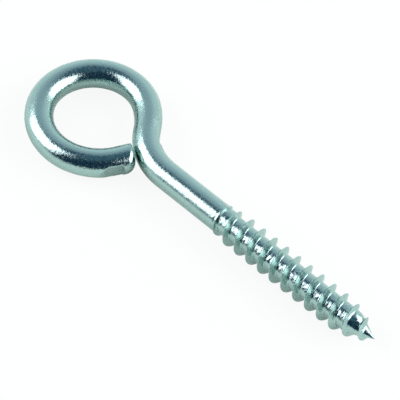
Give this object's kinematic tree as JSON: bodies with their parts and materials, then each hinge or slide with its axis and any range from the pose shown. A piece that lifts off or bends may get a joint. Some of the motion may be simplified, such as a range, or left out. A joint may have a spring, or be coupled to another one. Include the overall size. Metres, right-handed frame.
{
  "type": "screw eye",
  "caption": "Round wire bent into a nearly closed eye on a short neck, with a smooth shank and a coarse right-hand wood thread that ends in a gimlet point.",
  "frame": {"origin": "centre of the eye, in the middle of the wire's thickness", "axes": "+X along the shank towards the gimlet point, +Z square to the plane of the eye, +Y on the side where the neck bends"},
  "size_m": [0.1022, 0.0319, 0.0084],
  "materials": {
    "zinc_plated_steel": "bright blue-passivated zinc plating on drawn wire, fine sparkle, no lacquer"
  },
  "bodies": {
    "root": {"screw_eye": "zinc_plated_steel"}
  },
  "joints": []
}
